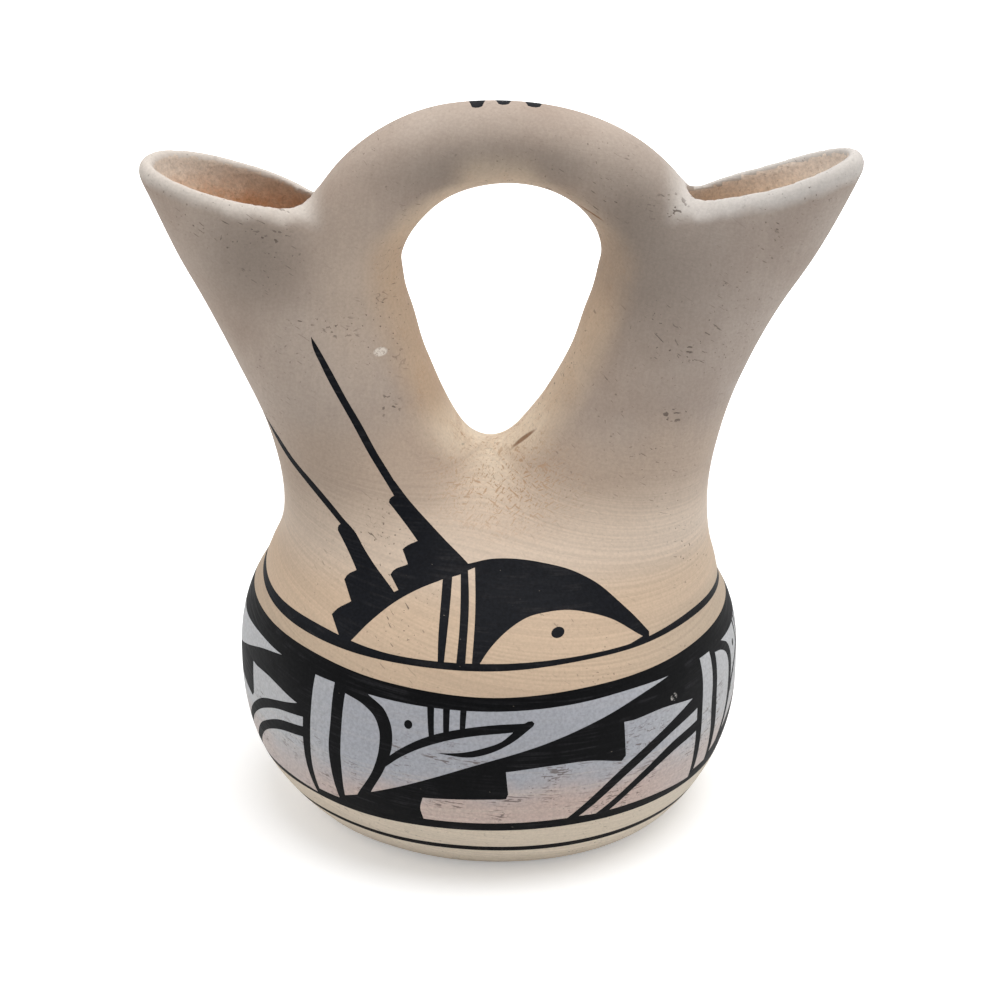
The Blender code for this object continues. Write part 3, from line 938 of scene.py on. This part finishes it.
NECK_SLIP = (0.385, 0.305, 0.25)
NECK_SLIP_PALE = (0.455, 0.375, 0.315)
NECK_PAINTED_SHADE = (0.275, 0.225, 0.187)
NECK_WARM = (0.49, 0.395, 0.32)
WAIST_SLIP = (0.47, 0.365, 0.285)
LIP_PAINTED_HIGHLIGHT = (0.59, 0.53, 0.475)
SHOULDER_SLIP = (0.625, 0.505, 0.4)
WEB_PAINTED_LIGHT = (0.655, 0.525, 0.41)
CREAM_SLIP = (0.565, 0.425, 0.305)
CREAM_SIDE_TINT = (0.84, 0.86, 0.87)
RIGHT_TINT = (0.985, 1.02, 1.06)
FOOT_SLIP_AND_BOUNCE = (0.62, 0.535, 0.43)
FOOT_PAINTED_BOUNCE = (0.755, 0.66, 0.54)
GAP_SLIP = (0.815, 0.695, 0.548)
GAP_SIDE = (0.56, 0.42, 0.3)
ORANGE_STAIN = (0.43, 0.245, 0.125)
SCUFF_COLOUR = (0.11, 0.085, 0.07)
CHIP_COLOUR = (0.74, 0.67, 0.59)
CREASE_SHADE = (0.24, 0.125, 0.065)
HOLLOW_COLOUR = (0.66, 0.36, 0.185)
HOLLOW_PALE_AND_LIT = (0.95, 0.78, 0.61)
HOLLOW_SPECK = (0.22, 0.13, 0.08)
LEFT_MOUTH = (0.64, 0.54, 0.45)
RIGHT_MOUTH = (0.8, 0.7, 0.61)
BLACK_COLOUR = (0.003, 0.0032, 0.0038)
BLACK_FIGURE = (0.006, 0.0068, 0.0094)
BLACK_WORN = (0.018, 0.0175, 0.0195)
BLACK_SPECK = (0.32, 0.27, 0.22)
STAR_COLOUR = (0.42, 0.4, 0.38)
WASH_COLOUR = (0.385, 0.395, 0.43)
WASH_SIDE_LIT = (0.46, 0.465, 0.475)
WASH_PINK = (0.525, 0.41, 0.365)
WASH_THIN = (0.62, 0.55, 0.47)
WASH_SCUFF = (0.13, 0.1, 0.09)
BARE_COLOUR = (0.52, 0.4, 0.3)
BARE_PALE = (0.62, 0.5, 0.39)
BARE_SPECK = (0.24, 0.16, 0.11)
PAPER_NEAR = (0.93, 0.93, 0.93)
PAPER_FAR = (0.5, 0.5, 0.5)
PAPER_SEEN = ((0.9, 0.9, 0.9), (0.91, 0.91, 0.91))
PAPER_GLOW = 0.3

# Painted shade on the upper necks and the handle's front: middle and reach
NECK_SHADE_SPOTS = (
    ((-61, -15, 164), (24, 26, 24)),
    ((40, -15, 162), (32, 30, 44)),
    ((0, -14, 184), (44, 16, 13)),
    ((38, -13, 172), (18, 22, 20)),
)
# Painted shade over the left neck and waist, a warmer patch, and painted light on the saddle front: middle and
# reach
LEFT_PAINTED_SHADE = ((-54, -20, 100), (26, 44, 36))
WARM = ((-36, -16, 152), (17, 26, 36))
GLOW = ((0, -16, 96), (26, 30, 15))
# Worn places of the slip: middle and reach
SCUFFED = (
    ((-59, -19.3, 168.1), (10, 8, 3)),
    ((45.5, -10.6, 174.3), (8, 8, 5)),
    ((48, -22.3, 120.2), (7, 5, 3)),
    ((51, -21.5, 137.8), (3, 4, 4)),
    ((-40.2, -19.5, 143.8), (6, 5, 4)),
    ((-27.8, -19.7, 122), (4, 5, 6)),
    ((-51.1, -21.2, 145.2), (5, 5, 4)),
    ((27.7, -58.5, 61.2), (3, 3, 1.2)),
)
SCRATCHED = ((3, -20, 100), (30, 34, 18))
CHIP = ((-30.4, -16.3, 136.1), (2.3, 3, 1.4))
# Creases, darkened with painted shade: middle, reach and turn
CREASES = (
    ((7.7, -10.1, 107.7), (5.6, 6, 0.38), (0, -0.75, 0)),
    ((25.2, -7.3, 171.7), (5.2, 6, 0.42), (0, 0.42, -0.51)),
)
# Half width of the gap under the handle: height and width
GAP_WIDTHS = (
    (104, 0), (107, 6), (116, 13), (125, 17.4), (134, 21), (143, 24.4),
    (152, 27), (161, 27), (171, 21), (176, 15), (180.5, 5),
)
# Worn places of the paint: middle and reach
WASH_WORN = (
    ((-14.3, -68.2, 41.5), (7, 6, 2.4)),
    ((-4, -69.3, 40.6), (6, 6, 2)),
    ((-12, -67.3, 27.6), (8, 6, 2.2)),
    ((4, -68.2, 29), (8, 6, 2.6)),
    ((17.2, -66.7, 36.8), (6, 6, 2.4)),
    ((42, -53, 31.5), (6, 6, 3)),
)
STAR = ((48, -48, 49.4), (1.5, 1.5, 1.3))


def coat_gap(mat):
    """Pale, stained slip round the gap under the handle, with painted light on its left side and top and painted
    shade at its upper right.
    """
    beside = mat.math("ABSOLUTE", mat.minus(mat.x, mat.ramp(mat.z, 104, 150, -1, 1.5)))
    beside = mat.most(mat.minus(beside, mat.curve(mat.z, GAP_WIDTHS)), 0)
    low_end, high_end = GAP_WIDTHS[0][0], GAP_WIDTHS[-1][0]
    beyond = mat.most(mat.minus(low_end, mat.z), mat.minus(mat.z, high_end), 0)
    gap = mat.ramp(mat.drifted(mat.distance(beside, beyond), 5, 16, offset=5), 11.5, -1)
    # Painted shade over the left neck and waist
    mat.coat(mat.blot(*LEFT_PAINTED_SHADE, soft=0.9), NECK_PAINTED_SHADE, 0.35)
    edge = mat.mix(mat.ramp(mat.z, 108, 122), GAP_SLIP, GAP_SIDE)
    # Painted light: paler on the gap's left side and towards its top
    lit = mat.times(mat.ramp(mat.x, 0, 15, 0, 0.35), mat.ramp(mat.z, 152, 126))
    edge = mat.mix(mat.most(lit, mat.ramp(mat.z, 160, 178, 0, 0.5)), edge, GAP_SLIP)
    # Painted shade: less pale at the gap's upper right
    dim = mat.times(mat.ramp(mat.x, 5, 20), mat.ramp(mat.z, 138, 156, 0, 0.4))
    mat.coat(gap, edge, mat.minus(mat.ramp(mat.z, 166, 180, 1, 0.7), dim))
    pits = mat.most(mat.scuffs(0.7, (0.1, 0.3, 0.2), 0.62, 61), mat.wires((3.4, 3.4, 2.2), 0.5, 63))
    stain = mat.ramp(mat.noise(7, 3, 0.6, offset=57), 0.44, 0.66, 0.1, 1)
    stain = mat.times(mat.times(gap, stain), mat.ramp(mat.z, 132, 104, 0.35, 1))
    mat.coat(stain, ORANGE_STAIN, mat.math("MULTIPLY_ADD", pits, 0.6, 0.2))
    scratch = mat.most(
        mat.scuffs((3.2, 3.2, 0.32), (0.2, 0.3, 0), 0.645, 73),
        mat.scuffs((2.6, 2.6, 0.3), (0.2, -0.5, 0), 0.65, 79),
        mat.scuffs((0.32, 1.2, 1.8), (0.1, 0.5, 0), 0.66, 87),
        mat.scuffs(0.6, (0.1, 0.3, 0), 0.67, 83),
    )
    mat.coat(mat.times(scratch, mat.blot(*SCRATCHED, soft=0.9)), ORANGE_STAIN, 0.65)


def slip_marks(mat):
    """Dark specks, dashes and hairs, close together in the scuffed places."""
    patch = mat.ramp(mat.noise(30, offset=23), 0.46, 0.66, 0.15, 1)
    speck = mat.scuffs(0.85, (0.3, 0.4, 0.2), 0.715, 3)
    dash = mat.scuffs((3.6, 3.6, 0.5), (0.35, 0.5, 0.3), 0.715, 9)
    hair = mat.wires((9, 9, 4), 0.66, 15, (0.3, 0.4, 0.2), 0.012)
    hair = mat.times(hair, mat.ramp(mat.z, 86, 98, 0, 0.7))
    close = mat.scuffs((1.7, 1.7, 0.8), (0.2, 0.25, 0.1), 0.63, 33)
    return mat.most(mat.times(mat.most(speck, dash, hair), patch), mat.times(mat.blots(SCUFFED), close))


def slip_material():
    mat = Shader("burnished_slip", NECK_SLIP, 0.62, 0.15)
    mat.coat(mat.ramp(mat.noise(34, 3, 0.55), 0.35, 0.68), NECK_SLIP_PALE)
    # Painted shade: darker spots on the upper necks and the handle's front
    mat.coat(mat.blots(NECK_SHADE_SPOTS, 0.9), NECK_PAINTED_SHADE, 0.92)
    mat.coat(mat.blot(*WARM, soft=0.9), NECK_WARM)
    # The slip is graded from the darker necks through the waist to the paler shoulder: partly its own tone, partly
    # painted shade on the upper necks
    level = mat.drifted(mat.z, 24, 26, offset=41)
    mat.coat(mat.ramp(level, 124, 106), WAIST_SLIP)
    mat.coat(mat.ramp(level, 106, 86), SHOULDER_SLIP)
    # Painted light: a paler patch on the up-facing saddle front
    mat.coat(mat.blot(*GLOW, soft=0.9), WEB_PAINTED_LIGHT)
    mat.coat(mat.ramp(mat.z, 86, 74), CREAM_SLIP)
    mat.tint(mat.times(mat.ramp(mat.aside, 22, 58), mat.ramp(mat.z, 70, 66)), CREAM_SIDE_TINT)
    # Paler foot: partly the slip's own pale tone, partly painted light standing in for light bounced up from the
    # floor; the lowest edge is paler still with painted bounce light
    mat.coat(mat.ramp(level, 44, 30), FOOT_SLIP_AND_BOUNCE)
    mat.coat(mat.ramp(mat.z, 13, 7), FOOT_PAINTED_BOUNCE)
    coat_gap(mat)
    # Painted highlight: a paler band along the top of each rim
    rim = mat.drifted(mat.below_rim(), 4, 8, offset=71)
    mat.coat(mat.times(mat.ramp(rim, 4.5, 0.5), mat.ramp(mat.aside, 43, 51)), LIP_PAINTED_HIGHLIGHT)
    mat.tint(mat.ramp(mat.x, 25, 65), RIGHT_TINT)

    low = mat.ramp(mat.z, 118, 92)
    brush = mat.noise((90, 90, 0.42), 1, 0.5, (0.12, 0.16, 0))
    mat.coat(low, mat.shaded(brush, 0.93, 1.05))
    polish = mat.noise((1.3, 1.3, 46), 2, 0.6, (0.06, 0.1, 0), 27)
    mat.colour = mat.mix(low, mat.shaded(polish, 0.975, 1.022), mat.colour)
    grain = mat.noise(0.75, 2, 0.6, offset=51)
    mat.colour = mat.shaded(grain, 0.945, 1.05)
    marks = slip_marks(mat)
    mat.coat(marks, SCUFF_COLOUR, 0.78)
    chip, crease = mat.blot(*CHIP, soft=0.35), mat.blots(CREASES, 0.45)
    mat.coat(chip, CHIP_COLOUR, mat.ramp(grain, 0.36, 0.5))
    # Painted shade: dark brown in the creases, with a small dent in the relief
    mat.coat(crease, CREASE_SHADE, 0.85)
    mat.feed("Roughness", mat.ramp(brush, 0.3, 0.7, 0.54, 0.7))
    relief = mat.math("MULTIPLY_ADD", brush, 0.5, mat.noise(1.4, 3, 0.6, offset=31))
    dents = mat.most(marks, mat.times(mat.most(chip, crease), 2))
    return mat.finished(mat.math("MULTIPLY_ADD", dents, -0.7, relief), 0.08)


def hollow_material():
    mat = Shader("inner_clay", HOLLOW_COLOUR, 0.8, 0.2)
    mat.coat(mat.ramp(mat.noise(5, 4, 0.65), 0.36, 0.66), HOLLOW_PALE_AND_LIT, 0.6)
    # Painted light: the hollow made paler towards the right mouth, standing in for light falling into it
    mat.coat(mat.ramp(mat.x, -30, 30, 0, 0.85), HOLLOW_PALE_AND_LIT)
    mouth = mat.mix(mat.ramp(mat.x, -30, 30), LEFT_MOUTH, RIGHT_MOUTH)
    mat.colour = mat.mix(mat.ramp(mat.below_rim(), 0.5, 12), mouth, mat.colour)
    mat.coat(mat.scuffs(1, (0.2, 0.1, 0.5), 0.66, 4), HOLLOW_SPECK, 0.25)
    mat.colour = mat.shaded(mat.noise(0.9, 2, 0.6, offset=19), 0.86, 1.1)
    return mat.finished(mat.noise(1.6, 4, 0.65, offset=7), 0.22)


def black_material():
    mat = Shader("black_paint", BLACK_COLOUR, 0.6, 0.08)
    mat.coat(mat.ramp(mat.z, 62, 68), BLACK_FIGURE)
    brush = mat.noise((22, 22, 0.7), 2, 0.6, (0.1, 0.06, 0))
    mat.coat(mat.ramp(brush, 0.44, 0.72), BLACK_WORN, mat.ramp(mat.noise(9), 0.4, 0.62, 0.2, 1))
    mat.colour = mat.shaded(mat.noise(0.8, 2, 0.6, offset=21), 0.75, 1.3)
    mat.coat(mat.scuffs((1.4, 1.4, 0.45), (0.2, 0.3, 0.1), 0.8, 12), BLACK_SPECK, 0.5)
    rough = mat.ramp(mat.noise(0.9, 2, 0.7, offset=39), 0.5, 0.58)
    mat.coat(mat.blot(*STAR, soft=0.3), STAR_COLOUR, rough)
    mat.feed("Roughness", mat.ramp(brush, 0.3, 0.7, 0.52, 0.68))
    return mat.finished(mat.math("ADD", brush, mat.noise(1.2, offset=3)), 0.05)


def wash_material():
    mat = Shader("grey_wash", WASH_COLOUR, 0.66, 0.15)
    level = mat.drifted(mat.z, 14, 18, 3, 0.6)
    # Painted light: the wash paler towards the sides of the belly
    mat.coat(mat.ramp(mat.aside, 34, 64), WASH_SIDE_LIT)
    mat.coat(mat.ramp(level, 37, 25), WASH_PINK, mat.ramp(mat.aside, 34, 60, 1, 0.55))
    brush = mat.noise((40, 40, 0.8), 3, 0.65, (0.03, 0.05, 0), 6)
    mat.coat(mat.ramp(brush, 0.46, 0.7), WASH_THIN, mat.ramp(level, 46, 26, 0.08, 0.42))
    mat.colour = mat.shaded(mat.noise(0.8, 2, 0.6, offset=29), 0.88, 1.1)
    group = mat.ramp(mat.noise(13, offset=37), 0.44, 0.6, 0.1, 1)
    zone = mat.times(group, mat.ramp(mat.z, 50, 42, 0.15, 1))
    dash = mat.scuffs((4, 4, 0.45), (0.1, 0.12, 0), 0.645, 2)
    speck = mat.scuffs(0.7, (0.4, 0.2, 0.2), 0.7, 8)
    marks = mat.times(mat.most(dash, speck, mat.wires((6, 6, 2), 0.52, 43)), zone)
    close = mat.scuffs((3, 3, 0.5), (0.1, 0.12, 0), 0.56, 47)
    mat.coat(mat.most(marks, mat.times(close, mat.blots(WASH_WORN))), WASH_SCUFF, 0.75)
    mat.feed("Roughness", mat.ramp(brush, 0.3, 0.7, 0.56, 0.72))
    return mat.finished(mat.math("ADD", brush, mat.noise(1.3, 3, 0.6, offset=4)), 0.06)


def bare_material():
    mat = Shader("bare_fired_clay", BARE_COLOUR, 0.82, 0.2)
    mat.coat(mat.ramp(mat.noise(7, 4, 0.65), 0.35, 0.66), BARE_PALE)
    mat.coat(mat.scuffs(1.1, (0.2, 0.1, 0.5), 0.67, 4), BARE_SPECK, 0.6)
    return mat.finished(mat.noise(1.2, 4, 0.7, offset=7), 0.2)


def paper_material():
    """White paper: it bounces light up near the pot, and shows white with a soft shadow."""
    mat = Shader("white_paper", PAPER_NEAR, 0.9, 0.1)
    off, seen = mat.distance(mat.x, mat.y), mat.camera_ray()
    mat.coat(mat.ramp(off, 250, 900), PAPER_FAR)
    mat.coat(seen, mat.mix(mat.noise(3), *PAPER_SEEN))
    mat.feed("Base Color", mat.colour)
    mat.feed("Emission Color", (1, 1, 1, 1))
    mat.feed("Emission Strength", mat.times(seen, mat.ramp(off, 150, 500, PAPER_GLOW, 1)))
    return mat.material


PAPER_HALF = 4.0
CAMERA_ELEVATION = math.radians(23.3)
CAMERA_DISTANCE = 0.86
CAMERA_LENS = 111.9
AIM = Vector((0.0015, 0, 0.086))
LAMP_POWER = 24.0
LAMP_SIZE = 1.6
LAMP_PLACE = Vector((0.2, -0.1, 1.7))
SKY_FRONT = 0.2
SKY_SIDE = 0.75
SKY_BACK = 0.75


def aim(item, place, direction):
    """Sets a lamp or a camera at a place, facing a direction."""
    item.location = place
    item.rotation_mode = "QUATERNION"
    item.rotation_quaternion = direction.to_track_quat("-Z", "Y")


def set_stage():
    """Floor, soft overhead lamp, dim surroundings and the camera."""
    scene = bpy.context.scene
    scene.view_settings.view_transform = "Standard"
    mesh = bpy.data.meshes.new("paper")
    reach = (-PAPER_HALF, PAPER_HALF)
    mesh.from_pydata([(x, y, 0) for x in reach for y in reach], [], [(0, 2, 3, 1)])
    mesh.materials.append(paper_material())
    paper = add_object("paper", mesh)

    world = bpy.data.worlds.new("studio")
    world.use_nodes = True
    sky = Nodes(world.node_tree)
    x, y, _ = sky.axes(sky.node("ShaderNodeTexCoord").outputs["Generated"])
    level = sky.ramp(y, -0.5, 0.5, SKY_FRONT, SKY_BACK)
    glow = sky.math("MULTIPLY_ADD", sky.times(x, x), SKY_SIDE, level)
    background = world.node_tree.nodes["Background"]
    background.inputs["Color"].default_value = (1, 1, 1, 1)
    sky.link(sky.most(sky.camera_ray(), glow), background.inputs["Strength"])
    scene.world = world

    lamp = bpy.data.lights.new("overhead", "AREA")
    lamp.shape = "DISK"
    lamp.size = LAMP_SIZE
    lamp.energy = LAMP_POWER
    aim(add_object("overhead", lamp), LAMP_PLACE, AIM - LAMP_PLACE)

    lens = bpy.data.cameras.new("camera")
    lens.lens = CAMERA_LENS
    lens.clip_start = 0.01
    scene.camera = add_object("camera", lens)
    back = Vector((0, -math.cos(CAMERA_ELEVATION), math.sin(CAMERA_ELEVATION)))
    aim(scene.camera, AIM + CAMERA_DISTANCE * back, -back)


PIECES = {
    "pot_base": (("base_disc",), "bare_clay"),
    "pot_body": (("belly_wall", "shoulder_wall"), "painted_band"),
    "pot_waist": (("left_waist", "right_waist"), "buff_slip"),
    "pot_neck_left": (("left_neck",), "buff_slip"),
    "pot_neck_right": (("right_neck",), "buff_slip"),
    "pot_lip_left": (("left_lip",), "buff_slip"),
    "pot_lip_right": (("right_lip",), "buff_slip"),
    "pot_handle": (("handle",), "buff_slip"),
}

finishes = [slip_material(), hollow_material(), black_material(), wash_material(), bare_material()]
finishes.append(finishes[BARE])
for piece_name, piece_shape in cut_pieces(*painted_pot()).items():
    cad_nodes, slot = PIECES[piece_name]
    piece = place_piece(piece_name, piece_shape, finishes)
    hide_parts(*cad_nodes)
    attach(piece, "root")
set_stage()
